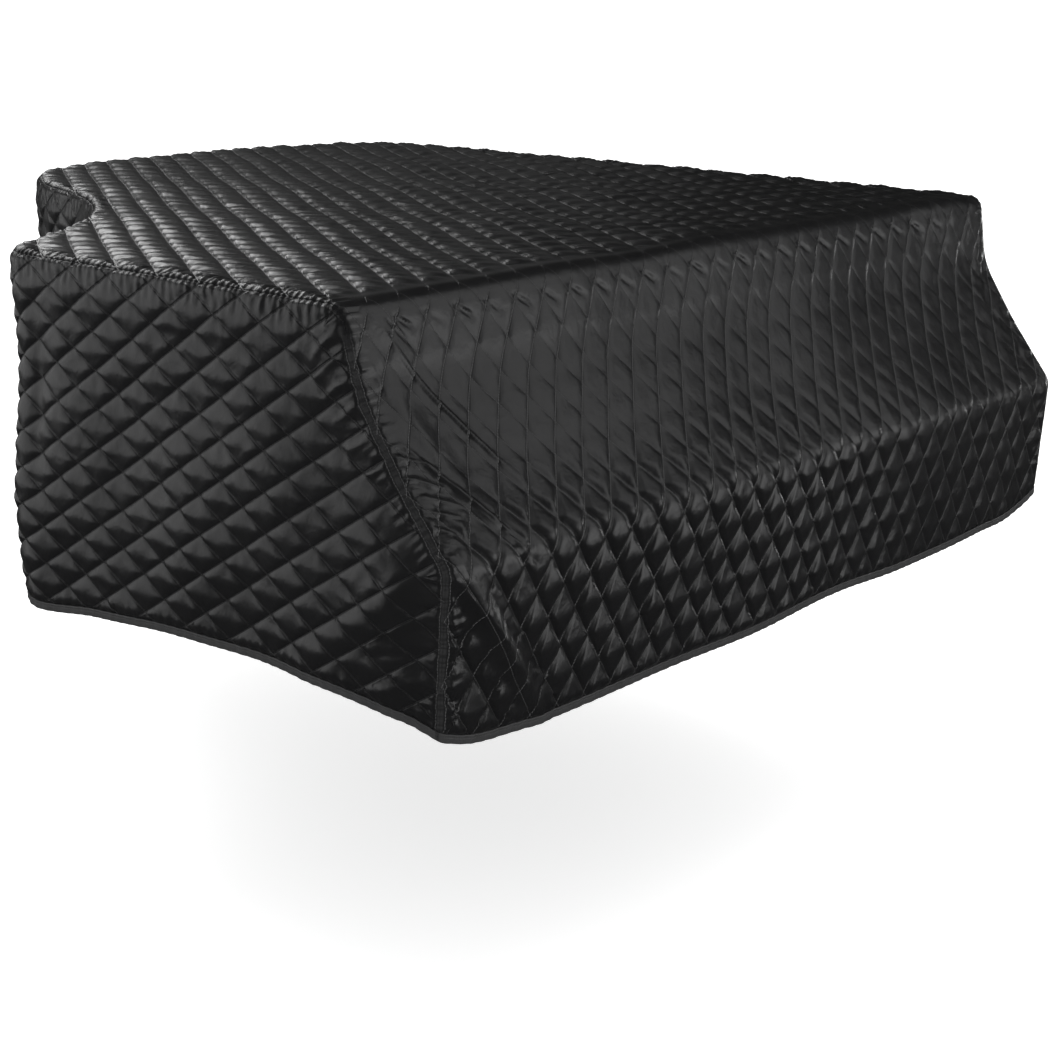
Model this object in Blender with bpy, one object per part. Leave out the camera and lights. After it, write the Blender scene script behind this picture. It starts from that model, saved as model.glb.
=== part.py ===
"""Quilted satin cover for a grand piano, in the shape that it keeps over the instrument.

Two cut panels and a binding are sewn together: one cloth runs over the lid and down the keyboard
front, one long band is the wall round both sides and the tail, and a tape binds the open hem.
The cover is laid out with its lid at z = 0, its front lid edge at y = 0 and the keyboard towards
-Y, then moved so that the world's origin is on the inside of the top, where the lid carries it.
"""

import math

import bpy
import numpy as np
from mathutils.geometry import delaunay_2d_cdt

# Driving sizes, in metres
WIDTH = 1.489
HALF = WIDTH / 2
FLAT_FROM = 0.10
SIDE_DROP = 0.476
ORIGIN = (0.0, 0.70, -0.003)

# Cloth and quilting. Each quilted diamond is twice HALF_SHORT by twice HALF_LONG, a little longer
# on the wall, and a stitched corner stands at x, z on the front and at run, depth on the wall.
CLOTH = 0.003
PUFF = 0.006
PUFF_SPREAD = 0.16
HALF_SHORT = 0.027
HALF_LONG = 0.0415
WALL_LONG = HALF_LONG * 1.05
FRONT_STITCH = (-0.311, -0.361)
SIDE_STITCH = (0.173, 0.282)
SEAM_GAP = 0.0003
EDGE_ROUND = 0.009
PUCKER = 0.0012
EDGE_FADE = 0.09
PUFF_FADE = 0.04
LATTICE_MARGIN = 0.014
LINING_MARGIN = 0.026

# Binding tape on the hem
TAPE_WIDTH = 0.011
TAPE_PROUD = 0.0006
TAPE_GAP = 0.0007

# Where the lid's far front corner is pulled forward: how far, from which x on, and its reach
FAR_CORNER_FORWARD = 0.018
FAR_CORNER_FROM = 0.50
FAR_CORNER_REACH = 0.09

# Where the cloth bends, as distances along it to each side of the bend's middle
LID_EDGE_V = 0.010
LID_EDGE_END_Z = -0.030
BEND_REACH = 0.045
SEAM_BEND_REACH = 0.030

# Spacing of points
STATION = 0.034
FRONT_HEM_STATION = HALF_SHORT * 1.3
SEAM_START = 0.03
TURN_REACH = 0.04
QUILT_TURN = 16
LINING_TURN = 3
CURVE_STEPS = 24
ARC_STEPS = 12

# Lid outline from the near front corner round the tail to the far front corner: x, y, heading
# in degrees from +X, and how far the handles of the curve that arrives there reach.
LID = (
    (-HALF, 0.000, 90, 1.0),
    (-HALF, 0.625, 90, 1.0),
    (-0.700, 0.698, 31, 1.0),
    (-0.442, 0.882, 46, 1.0),
    (-0.238, 1.230, 75, 1.0),
    (-0.112, 1.470, 47, 1.0),
    (0.280, 1.568, 2, 1.0),
    (0.690, 1.494, -26, 1.0),
    (0.782, 1.370, -86, 1.1),
    (0.778, 0.850, -91, 1.0),
    (HALF, 0.000, -90, 1.0),
)

# Side view of the keyboard front, as corners to be rounded: y, z, radius.
FRONT = (
    (FLAT_FROM, 0.000, 0.0),
    (-0.010, 0.000, 0.027),
    (-0.043, -0.112, 0.180),
    (-0.106, -0.205, 0.300),
    (-0.180, -0.300, 0.030),
    (-0.156, -0.640, 0.0),
)
KNUCKLE_Z = -0.300

# Depth of the front's hem below the lid: x, depth.
FRONT_HEM = (
    (-HALF, 0.505),
    (-0.690, 0.522),
    (-0.620, 0.530),
    (-0.400, 0.533),
    (-0.120, 0.533),
    (0.160, 0.524),
    (0.300, 0.529),
    (0.430, 0.526),
    (0.550, 0.519),
    (0.660, 0.515),
    (0.710, 0.502),
    (HALF, 0.488),
)

# The wall's hem: how far before the lid's near end it starts to drop to the front's hem, how it
# waves along the far side, and how soon it drops to the front's hem at the far corner.
CORNER_REACH = 0.13
HEM_WAVE = 0.004
HEM_WAVE_TURNS = 5.0
HEM_WAVE_FADE = 0.3
FAR_CORNER_RISE = 0.075

# Depth of the near wall's hem below the lid: run round the lid, depth.
WALL_HEM = (
    (-0.10, 0.490),
    (0.00, 0.480),
    (0.20, 0.477),
    (0.35, 0.481),
    (0.50, 0.492),
    (0.63, 0.506),
    (0.75, 0.494),
    (0.90, SIDE_DROP),
)

# How the walls stand out from the lid's outline: depth below the lid, distance outwards.
WALL = (
    (0.00, 0.000),
    (0.07, -0.007),
    (0.16, -0.003),
    (0.36, 0.006),
    (0.56, 0.002),
)

# Soft waves: turns per metre along the panel's first and second direction, phase, height. The
# wall's waves grow to full height over a distance below the lid.
SIDE_WAVE_GROWTH = 0.3
TOP_WAVES = ((1.9, 1.3, 0.4, 0.0016), (3.1, -2.2, 1.7, 0.0012))
SIDE_WAVES = ((1.3, 0.6, 0.2, 0.0050), (2.7, -1.9, 1.1, 0.0030), (4.9, 1.2, 2.6, 0.0016))

# Main creases: start and end on the flat cloth, height and half width.
FRONT_CREASES = (
    (-0.735, -0.29, -0.640, -0.50, 0.007, 0.020),
    (-0.700, -0.11, -0.640, -0.30, 0.004, 0.018),
    (-0.745, -0.36, -0.700, -0.53, -0.006, 0.018),
    (0.735, -0.24, 0.700, -0.50, -0.006, 0.035),
)
SIDE_CREASES = (
    (-0.150, 0.30, 0.060, 0.47, 0.005, 0.024),
    (0.600, 0.05, 0.640, 0.44, -0.006, 0.026),
    (0.680, 0.10, 0.660, 0.46, 0.005, 0.028),
)


def smooth(value):
    """0 up to 0, 1 from 1 on, with a soft start and end between them."""
    value = np.clip(value, 0.0, 1.0)
    return value * value * (3.0 - 2.0 * value)


def along(points):
    """Length run from the first point to each point of a line."""
    return np.concatenate([[0.0], np.cumsum(np.linalg.norm(np.diff(points, axis=0), axis=1))])


def curve_through(rows):
    """A smooth plan curve through points with given headings."""
    line = [np.array(rows[0][:2])]
    for (x0, y0, head0, _), (x1, y1, head1, reach) in zip(rows, rows[1:]):
        start, end = np.array((x0, y0)), np.array((x1, y1))
        pull = np.linalg.norm(end - start) * reach
        leave = pull * np.array((math.cos(math.radians(head0)), math.sin(math.radians(head0))))
        arrive = pull * np.array((math.cos(math.radians(head1)), math.sin(math.radians(head1))))
        for step in range(1, CURVE_STEPS + 1):
            t = step / CURVE_STEPS
            line.append(
                (2 * t**3 - 3 * t**2 + 1) * start
                + (t**3 - 2 * t**2 + t) * leave
                + (3 * t**2 - 2 * t**3) * end
                + (t**3 - t**2) * arrive
            )
    return np.array(line)


def rounded(rows):
    """A line through corner points, each corner replaced by an arc of its radius."""
    corners = [np.array(row[:2]) for row in rows]
    line = [corners[0]]
    for before, corner, after, (_, _, radius) in zip(corners, corners[1:], corners[2:], rows[1:]):
        back = (before - corner) / np.linalg.norm(before - corner)
        ahead = (after - corner) / np.linalg.norm(after - corner)
        half = math.acos(np.clip(back @ ahead, -1.0, 1.0)) / 2
        reach = radius / math.tan(half)
        middle = corner + (back + ahead) / np.linalg.norm(back + ahead) * radius / math.sin(half)
        first = corner + back * reach - middle
        last = corner + ahead * reach - middle
        turn = math.pi - 2 * half
        for step in range(ARC_STEPS + 1):
            t = step / ARC_STEPS
            line.append(
                middle
                + (math.sin((1 - t) * turn) * first + math.sin(t * turn) * last) / math.sin(turn)
            )
    line.append(corners[-1])
    return np.array(line)


LID_LINE = curve_through(LID)
LID_RUN = along(LID_LINE)
LID_LENGTH = LID_RUN[-1]
FRONT_LINE = rounded(FRONT)
FRONT_RUN = along(FRONT_LINE)


def on_line(line, run, where):
    """Point and unit direction at a run along a line, which goes straight on past its ends."""
    index = int(np.clip(np.searchsorted(run, where) - 1, 0, len(run) - 2))
    ahead = (line[index + 1] - line[index]) / (run[index + 1] - run[index])
    return line[index] + ahead * (where - run[index]), ahead


def soft_direction(line, run, where, reach=0.006):
    """Unit direction averaged a little way to each side, so that arcs stay smooth."""
    before, _ = on_line(line, run, where - reach)
    after, _ = on_line(line, run, where + reach)
    return (after - before) / np.linalg.norm(after - before)


def lid_at(run):
    """Plan point of the wall's foot line at a run round the lid, and its outward normal."""
    point, _ = on_line(LID_LINE, LID_RUN, run)
    ahead = soft_direction(LID_LINE, LID_RUN, run)
    return point, np.array((-ahead[1], ahead[0]))


def front_at(v):
    """Side-view point (y, z) of the top cloth at its length coordinate v, and its normal."""
    if v >= FLAT_FROM:
        return np.array((v, 0.0)), np.array((0.0, 1.0))
    point, _ = on_line(FRONT_LINE, FRONT_RUN, FLAT_FROM - v)
    ahead = soft_direction(FRONT_LINE, FRONT_RUN, FLAT_FROM - v)
    return point, np.array((ahead[1], -ahead[0]))


def front_v(z):
    """Length coordinate at which the keyboard front is at height z."""
    return FLAT_FROM - np.interp(-z, -FRONT_LINE[:, 1], FRONT_RUN)


def waves(rows, u, v):
    return sum(
        height * math.sin(2 * math.pi * (along_u * u + along_v * v) + phase)
        for along_u, along_v, phase, height in rows
    )


def creases(rows, u, v):
    """Height of the creases at a point of the flat cloth."""
    total = 0.0
    for u0, v0, u1, v1, height, half_width in rows:
        run = np.array((u1 - u0, v1 - v0))
        offset = np.array((u - u0, v - v0))
        share = float(np.clip(offset @ run / (run @ run), 0.0, 1.0))
        away = np.linalg.norm(offset - share * run)
        height *= math.sin(math.pi * (0.1 + 0.8 * share))
        total += height * math.exp(-((away / half_width) ** 2))
    return total


def distance(points, line):
    """Distance of each point to a line; a closed loop repeats its first point at the end."""
    start = line[:-1]
    side = line[1:] - start
    offset = points[:, None, :] - start[None, :, :]
    share = np.clip((offset * side).sum(2) / (side * side).sum(1), 0.0, 1.0)
    return np.linalg.norm(offset - share[:, :, None] * side, axis=2).min(1)


def closed(loop):
    return np.concatenate([loop, loop[:1]])


def inside(points, loop):
    """Which points lie inside a closed loop."""
    x, y = points[:, :1], points[:, 1:]
    x0, y0 = loop[:, 0], loop[:, 1]
    x1, y1 = np.roll(x0, -1), np.roll(y0, -1)
    rise = np.where(y1 == y0, 1e-12, y1 - y0)
    crosses = ((y0 > y) != (y1 > y)) & (x < (x1 - x0) * (y - y0) / rise + x0)
    return crosses.sum(1) % 2 == 1


def through(rows, where):
    """Value at a place on a smooth curve through the rows of a table."""
    places, values = np.array(rows).T
    index = int(np.clip(np.searchsorted(places, where) - 1, 0, len(rows) - 2))
    slopes = np.gradient(values, places)
    step = places[index + 1] - places[index]
    t = (where - places[index]) / step
    return float(
        (2 * t**3 - 3 * t**2 + 1) * values[index]
        + (t**3 - 2 * t**2 + t) * step * slopes[index]
        + (3 * t**2 - 2 * t**3) * values[index + 1]
        + (t**3 - t**2) * step * slopes[index + 1]
    )


def hem_of_front(u):
    """Depth of the front's hem below the lid, drawn up round both corners."""
    return through(FRONT_HEM, u)


def hem_of_side(run):
    """Depth of the wall's hem below the lid, which meets the front's hem at both corners."""
    first, last = WALL_HEM[0][0], WALL_HEM[-1][0]
    if run < first:
        share = smooth((first - run) / (CORNER_REACH + first / 2))
        return WALL_HEM[0][1] + (FRONT_HEM[0][1] - WALL_HEM[0][1]) * share
    if run < last:
        return through(WALL_HEM, run)
    wave = HEM_WAVE * math.sin(HEM_WAVE_TURNS * (run - last))
    level = SIDE_DROP + wave * smooth((LID_LENGTH - run) / HEM_WAVE_FADE)
    far = 1 - smooth((LID_LENGTH - run + CORNER_REACH) / FAR_CORNER_RISE)
    return level + (FRONT_HEM[-1][1] - level) * far


def stations(start, end, spacing):
    """Evenly spaced values from start to end, both included."""
    count = max(1, round(abs(end - start) / spacing))
    return np.linspace(start, end, count + 1)


def seam_profile(hand):
    """Places along the front's side view where a corner seam has a point, hem to lid."""
    hem = front_v(-hem_of_front(hand * HALF))
    knuckle = front_v(KNUCKLE_Z)
    edge = front_v(LID_EDGE_END_Z)
    below, above = knuckle - SEAM_BEND_REACH, knuckle + SEAM_BEND_REACH
    parts = (
        stations(hem, below, STATION)[:-1],
        stations(below, above, STATION / 3)[:-1],
        stations(above, edge, STATION)[:-1],
        stations(edge, SEAM_START, STATION / 3)[:-1],
    )
    return np.concatenate(parts)


def seam_plan():
    """Runs round the lid where the top seam has a point, closer together on its bends."""
    last = LID_LENGTH - SEAM_START
    spots = [SEAM_START]
    while spots[-1] < last - STATION:
        _, here = lid_at(spots[-1])
        _, soon = lid_at(spots[-1] + STATION)
        bend = math.acos(min(1.0, here @ soon))
        spots.append(spots[-1] + STATION / (1 + 4 * bend))
    return np.array(spots[:-1] + [last])


class Seam:
    """The one seam between top cloth and wall: where it runs, on both cloths and in space."""

    def __init__(self):
        self.top, self.side, self.edge, self.out_top, self.out_side = [], [], [], [], []
        for v in seam_profile(-1):
            self.add_front(v, -1)
        for run in seam_plan():
            point, normal = lid_at(run)
            self.add(point, (run, 0.0), (*point, 0.0), (0.0, 0.0, 1.0), (*normal, 0.0))
        for v in seam_profile(1)[::-1]:
            self.add_front(v, 1)

    def add_front(self, v, hand):
        point, normal = top_surface(hand * HALF, v)
        run = point[1] if hand < 0 else LID_LENGTH - point[1]
        self.add((hand * HALF, v), (run, -point[2]), point, normal, (hand, 0.0, 0.0))

    def add(self, top, side, edge, out_top, out_side):
        self.top.append(top)
        self.side.append(side)
        self.edge.append(np.array(edge))
        self.out_top.append(np.array(out_top))
        self.out_side.append(np.array(out_side))

    def skins(self, hand):
        """Outer and inner points of one cloth's cut edge: hand -1 is the top's, 1 the wall's."""
        outer, inner = [], []
        for index, (edge, top, side) in enumerate(zip(self.edge, self.out_top, self.out_side)):
            out = (top + side) / math.sqrt(2)
            across = (side - top) / math.sqrt(2)
            sunk = EDGE_ROUND * (math.sqrt(2) - 1) - PUCKER * (-1) ** index
            point = edge - out * sunk + across * hand * SEAM_GAP / 2
            outer.append(point)
            inner.append(point - out * CLOTH)
        return outer, inner


def top_surface(u, v):
    """Point and normal of the top cloth before quilting, at a point of the flat cloth."""
    (y, z), (ny, nz) = front_at(v)
    closeness = smooth((u - FAR_CORNER_FROM) / (HALF - FAR_CORNER_FROM))
    forward = FAR_CORNER_FORWARD * closeness * math.exp(-((v / FAR_CORNER_REACH) ** 2))
    return np.array((u, y - forward, z)), np.array((0.0, ny, nz))


def top_relief(u, v):
    return waves(TOP_WAVES, u, v) + creases(FRONT_CREASES, u, v)


def side_surface(run, depth):
    """Point and normal of the wall before quilting, at a point of the flat cloth."""
    (x, y), (nx, ny) = lid_at(run)
    return np.array((x, y, -depth)), np.array((nx, ny, 0.0))


def side_relief(run, depth):
    depths, outwards = zip(*WALL)
    return (
        float(np.interp(depth, depths, outwards))
        + waves(SIDE_WAVES, run, depth) * smooth(depth / SIDE_WAVE_GROWTH)
        + creases(SIDE_CREASES, run, depth)
    )


def grid_cells(loop, anchor, half_u, half_v):
    """Every column and row number of the quilting's grid that can lie inside a loop."""
    low, high = (loop.min(0) - anchor) / (half_u, half_v), (loop.max(0) - anchor) / (half_u, half_v)
    for i in range(math.floor(low[0]), math.ceil(high[0]) + 1):
        for j in range(math.floor(low[1]), math.ceil(high[1]) + 1):
            yield i, j


def lattice(loop, anchor, half_u, half_v, bends):
    """Points of the quilting inside a loop, their heights, and the stitch lines between them.

    Stitched corners and puffed centres alternate like the two colours of a chessboard. Where the
    cloth bends, each stitch line gets a middle point too. Points are numbered in half steps.
    """
    keys = []
    for i, j in grid_cells(loop, anchor, half_u, half_v):
        keys.append((2 * i, 2 * j))
        if bends(anchor[0] + (i + 0.5) * half_u, anchor[1] + (j + 0.5) * half_v):
            keys.append((2 * i + 1, 2 * j + 1))
    spots = np.array([(anchor[0] + i * half_u / 2, anchor[1] + j * half_v / 2) for i, j in keys])
    keep = inside(spots, loop)
    keep &= distance(spots, closed(loop)) > LATTICE_MARGIN
    kept_keys = [key for key, kept in zip(keys, keep) if kept]
    number = {key: index for index, key in enumerate(kept_keys)}
    heights = []
    lines = []
    for (i, j), index in number.items():
        puffed = i % 2 == 0 and (i + j) % 4 == 2
        fullness = 1 + PUFF_SPREAD * math.sin(2.3 * i + 1.7 * j)
        heights.append(PUFF * fullness if puffed else 0.0)
        if i % 2 == 1 or puffed:
            continue
        for step in (-1, 1):
            middle, end = (i + 1, j + step), (i + 2, j + 2 * step)
            stops = [index] + [number[key] for key in (middle, end) if key in number]
            lines += list(zip(stops, stops[1:]))
    return spots[keep], np.array(heights), lines


def lining_points(loop, anchor, half_u, half_v, bends):
    """A sparser set of points for the inner face, which has no quilting."""
    spots = []
    for i, j in grid_cells(loop, anchor, half_u, half_v):
        spot = (anchor[0] + i * half_u, anchor[1] + j * half_v)
        if (i + j) % 2 == 0 and (bends(*spot) or (i % 4 == 0 and j % 4 == 0)):
            spots.append(spot)
    spots = np.array(spots)
    keep = inside(spots, loop)
    keep &= distance(spots, closed(loop)) > LINING_MARGIN
    return spots[keep]


def triangles(loop, spots, lines):
    """Triangles of the flat cloth inside its outline that keep the outline and the stitch lines."""
    count = len(loop)
    points = [tuple(p) for p in loop] + [tuple(p) for p in spots]
    edges = [(k, (k + 1) % count) for k in range(count)]
    edges += [(count + a, count + b) for a, b in lines]
    _, _, faces, sources, _, _ = delaunay_2d_cdt(points, edges, [range(count)], 1, 1e-7)
    return [[sources[k][0] for k in face] for face in faces]


def panel(loop, seam_line, edge_outer, edge_inner, quilting, lining, surface, relief):
    """Points and faces of one quilted cloth: outer face, inner face and the cut edge between."""
    spots, heights, lines = quilting
    outer = list(edge_outer)
    fades = smooth(distance(spots, seam_line) / EDGE_FADE)
    edge_fades = smooth(distance(spots, closed(loop)) / PUFF_FADE)
    for (u, v), height, fade, edge_fade in zip(spots, heights, fades, edge_fades):
        point, normal = surface(u, v)
        outer.append(point + normal * (relief(u, v) * fade + height * edge_fade))
    inner = list(edge_inner)
    for (u, v), fade in zip(lining, smooth(distance(lining, seam_line) / EDGE_FADE)):
        point, normal = surface(u, v)
        inner.append(point + normal * (relief(u, v) * fade - CLOTH))
    faces = triangles(loop, spots, lines)
    shift = len(outer)
    faces += [[shift + k for k in reversed(face)] for face in triangles(loop, lining, [])]
    for k in range(len(loop)):
        after = (k + 1) % len(loop)
        faces.append([after, k, shift + k, shift + after])
    return outer + inner, faces


def hem_edge(spots, seam_line, surface, relief):
    """Outer and inner points of a cut edge that hangs free."""
    outer, inner = [], []
    for (u, v), fade in zip(spots, smooth(distance(np.array(spots), seam_line) / EDGE_FADE)):
        point, normal = surface(u, v)
        outer.append(point + normal * relief(u, v) * fade)
        inner.append(outer[-1] - normal * CLOTH)
    return outer, inner


def material(name, colour, roughness):
    made = bpy.data.materials.new(name)
    made.use_nodes = True
    shader = made.node_tree.nodes["Principled BSDF"]
    shader.inputs["Base Color"].default_value = (*colour, 1.0)
    shader.inputs["Roughness"].default_value = roughness
    shader.inputs["Metallic"].default_value = 0.0
    return made


def add_object(name, points, faces, finish, collection):
    mesh = bpy.data.meshes.new(name)
    mesh.from_pydata([tuple(p) for p in points], [], faces)
    mesh.materials.append(finish)
    made = bpy.data.objects.new(name, mesh)
    made.location = [-value for value in ORIGIN]
    collection.objects.link(made)
    return made


def turns_more_than(run, degrees):
    """Whether the lid's outline turns by more than an angle from one side of a run to the other."""
    _, before = lid_at(run - TURN_REACH)
    _, after = lid_at(run + TURN_REACH)
    return before @ after < math.cos(math.radians(degrees))


def front_bends(_, v):
    """Where the top cloth turns over the front lid edge and over the knuckle."""
    return abs(v - LID_EDGE_V) < BEND_REACH or abs(v - front_v(KNUCKLE_Z)) < BEND_REACH


def side_bends(run, _):
    """Where the wall turns in plan: the near corner and the round of the tail."""
    return turns_more_than(run, QUILT_TURN)


def lining_bends_front(_, v):
    return v < FLAT_FROM + 0.02


def lining_bends_side(run, _):
    return turns_more_than(run, LINING_TURN)


def top_cloth(seam):
    """The top and front in one: its points and faces, and its hem from near to far corner."""
    across = stations(HALF, -HALF, FRONT_HEM_STATION)[1:-1]
    hem = [(u, front_v(-hem_of_front(u))) for u in across]
    seam_line = np.array(seam.top)
    hem_outer, hem_inner = hem_edge(hem, seam_line, top_surface, top_relief)
    seam_outer, seam_inner = seam.skins(-1)
    loop = np.array(list(seam.top) + hem)[::-1]
    edge_outer = (seam_outer + hem_outer)[::-1]
    edge_inner = (seam_inner + hem_inner)[::-1]
    grid = ((FRONT_STITCH[0], front_v(FRONT_STITCH[1])), HALF_SHORT, HALF_LONG)
    quilting = lattice(loop, *grid, front_bends)
    lining = lining_points(loop, *grid, lining_bends_front)
    made = panel(loop, seam_line, edge_outer, edge_inner, quilting, lining, top_surface, top_relief)
    return made, hem_outer[::-1], hem_inner[::-1]


def side_cloth(seam):
    """The long wall: its points and faces, and its hem from far to near corner."""
    near, far = seam.side[0][0], seam.side[-1][0]
    hem = [(run, hem_of_side(run)) for run in stations(far, near, STATION)[1:-1]]
    seam_line = np.array(seam.side)
    hem_outer, hem_inner = hem_edge(hem, seam_line, side_surface, side_relief)
    seam_outer, seam_inner = seam.skins(1)
    loop = np.array(list(seam.side) + hem)
    edge_outer = seam_outer + hem_outer
    edge_inner = seam_inner + hem_inner
    grid = (SIDE_STITCH, WALL_LONG, HALF_SHORT)
    quilting = lattice(loop, *grid, side_bends)
    lining = lining_points(loop, *grid, lining_bends_side)
    made = panel(loop, seam_line, edge_outer, edge_inner, quilting, lining, side_surface, side_relief)
    return made, hem_outer, hem_inner


def hem_tape(outer, inner):
    """The binding: a flat tape under the cut edges, a little proud of them on both faces."""
    points, faces = [], []
    for out_point, in_point in zip(outer, inner):
        across = (out_point - in_point) * (1, 1, 0)
        across = across / np.linalg.norm(across) * TAPE_PROUD
        level = min(out_point[2], in_point[2]) - TAPE_GAP
        for spot, z in (
            (out_point + across, level),
            (out_point + across, level - TAPE_WIDTH),
            (in_point - across, level - TAPE_WIDTH),
            (in_point - across, level),
        ):
            points.append(np.array((spot[0], spot[1], z)))
    count = len(outer)
    for k in range(count):
        here, there = 4 * k, 4 * ((k + 1) % count)
        for corner in range(4):
            after = (corner + 1) % 4
            faces.append([here + after, there + after, there + corner, here + corner])
    return points, faces


def main():
    for old in list(bpy.data.objects):
        bpy.data.objects.remove(old)
    collection = bpy.data.collections.new("grand_piano_cover")
    bpy.context.scene.collection.children.link(collection)
    satin = material("quilted_satin", (0.012, 0.012, 0.013), 0.38)
    tape = material("binding_tape", (0.020, 0.020, 0.021), 0.55)

    seam = Seam()
    (top_points, top_faces), front_outer, front_inner = top_cloth(seam)
    (side_points, side_faces), wall_outer, wall_inner = side_cloth(seam)
    add_object("top_front_panel", top_points, top_faces, satin, collection)
    add_object("side_panel", side_points, side_faces, satin, collection)

    corners_outer = [(a + b) / 2 for a, b in zip(seam.skins(-1)[0], seam.skins(1)[0])]
    corners_inner = [(a + b) / 2 for a, b in zip(seam.skins(-1)[1], seam.skins(1)[1])]
    outer = [corners_outer[0]] + front_outer + [corners_outer[-1]] + wall_outer
    inner = [corners_inner[0]] + front_inner + [corners_inner[-1]] + wall_inner
    tape_points, tape_faces = hem_tape(outer, inner)
    add_object("hem_binding", tape_points, tape_faces, tape, collection)


main()
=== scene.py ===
"""Quilted black satin cover for a grand piano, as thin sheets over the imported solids' shapes."""

import functools
import math

import bpy
import numpy as np
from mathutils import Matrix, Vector
from mathutils.geometry import delaunay_2d_cdt
from mathutils.kdtree import KDTree


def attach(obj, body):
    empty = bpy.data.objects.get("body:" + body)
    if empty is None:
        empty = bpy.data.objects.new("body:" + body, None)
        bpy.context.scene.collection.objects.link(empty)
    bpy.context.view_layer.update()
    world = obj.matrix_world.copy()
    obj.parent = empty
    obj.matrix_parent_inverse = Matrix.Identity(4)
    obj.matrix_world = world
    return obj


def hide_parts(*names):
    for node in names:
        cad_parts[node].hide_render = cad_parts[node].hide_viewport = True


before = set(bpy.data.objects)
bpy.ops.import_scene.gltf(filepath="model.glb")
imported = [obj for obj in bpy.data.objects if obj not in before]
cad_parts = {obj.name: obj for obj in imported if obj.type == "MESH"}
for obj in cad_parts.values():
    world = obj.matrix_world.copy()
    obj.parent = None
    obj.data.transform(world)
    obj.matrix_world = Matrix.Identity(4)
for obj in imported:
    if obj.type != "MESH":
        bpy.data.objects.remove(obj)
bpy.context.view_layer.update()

# Driving sizes of the solids, in metres. On the flat top cloth, u runs across the piano and v back from
# the lid's front edge; on the flat wall, u is the run round the lid and v the depth under it.
WIDTH = 1.489
HALF = WIDTH / 2
FLAT_FROM = 0.10
SIDE_DROP = 0.476
CORNER_REACH = 0.13
FAR_HEM_RISE = 0.075
ORIGIN = np.array((0.0, 0.70, -0.003))
CLOTH = 0.003
EDGE_ROUND = 0.009
EDGE_FADE = 0.09
FAR_CORNER_FORWARD = 0.018
FAR_CORNER_FROM = 0.50
FAR_CORNER_REACH = 0.09
CURVE_STEPS = 24
ARC_STEPS = 12
STRAIGHT_SIDE = 0.6
STRAIGHT_FRONT = 2.4

# One quilted diamond's half sizes, and a crossing of stitch lines on each cloth: u and height on the
# front, run and depth on the wall
HALF_SHORT = 0.027
HALF_LONG = 0.0415
WALL_LONG = HALF_LONG * 1.05
FRONT_STITCH = (-0.311, -0.361)
SIDE_STITCH = (0.173, 0.282)

# The seam: samples of its route, where it leaves the corners, how deep it still counts as the lid's, and how
# far the cut edges cross each other
CORNER_SAMPLES = 260
LID_SAMPLES = 1800
SEAM_START = 0.03
LID_SEAM_DEPTH = 0.025
SEAM_CROSSING = 0.00002

# The lid's outline: place, heading in degrees and reach of the curve that arrives there
LID = (
    (-HALF, 0.000, 90, 1.0), (-HALF, 0.625, 90, 1.0), (-0.700, 0.698, 31, 1.0),
    (-0.442, 0.882, 46, 1.0), (-0.238, 1.230, 75, 1.0), (-0.112, 1.470, 47, 1.0),
    (0.280, 1.568, 2, 1.0), (0.690, 1.494, -26, 1.0), (0.782, 1.370, -86, 1.1),
    (0.778, 0.850, -91, 1.0), (HALF, 0.000, -90, 1.0),
)
# The front's section from the lid down: place and rounding radius of each corner
FRONT = (
    (FLAT_FROM, 0.000, 0.0), (-0.010, 0.000, 0.027), (-0.043, -0.112, 0.180),
    (-0.106, -0.205, 0.300), (-0.180, -0.300, 0.030), (-0.156, -0.640, 0.0),
)
KNUCKLE_Z = -0.300
# Depth of the hem under the lid: across the front, and along the run round the lid
FRONT_HEM = (
    (-HALF, 0.505), (-0.690, 0.522), (-0.620, 0.530), (-0.400, 0.533),
    (-0.120, 0.533), (0.160, 0.524), (0.300, 0.529), (0.430, 0.526),
    (0.550, 0.519), (0.660, 0.515), (0.710, 0.502), (HALF, 0.488),
)
WALL_HEM = (
    (-0.10, 0.490), (0.00, 0.480), (0.20, 0.477), (0.35, 0.481),
    (0.50, 0.492), (0.63, 0.506), (0.75, 0.494), (0.90, SIDE_DROP),
)
# How far the wall leans out at each depth, and the long waves and main creases of both cloths
WALL = ((0.00, 0.000), (0.07, -0.007), (0.16, -0.003), (0.36, 0.006), (0.56, 0.002))
TOP_WAVES = ((1.9, 1.3, 0.4, 0.0016), (3.1, -2.2, 1.7, 0.0012))
SIDE_WAVES = ((1.3, 0.6, 0.2, 0.0050), (2.7, -1.9, 1.1, 0.0030), (4.9, 1.2, 2.6, 0.0016))
FRONT_CREASES = (
    (-0.735, -0.29, -0.640, -0.50, 0.007, 0.020),
    (-0.700, -0.11, -0.640, -0.30, 0.004, 0.018),
    (-0.745, -0.36, -0.700, -0.53, -0.006, 0.018),
    (0.735, -0.24, 0.700, -0.50, -0.006, 0.035),
)
SIDE_CREASES = (
    (-0.150, 0.30, 0.060, 0.47, 0.005, 0.024),
    (0.600, 0.05, 0.640, 0.44, -0.006, 0.026),
    (0.680, 0.10, 0.660, 0.46, 0.005, 0.028),
)

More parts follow.
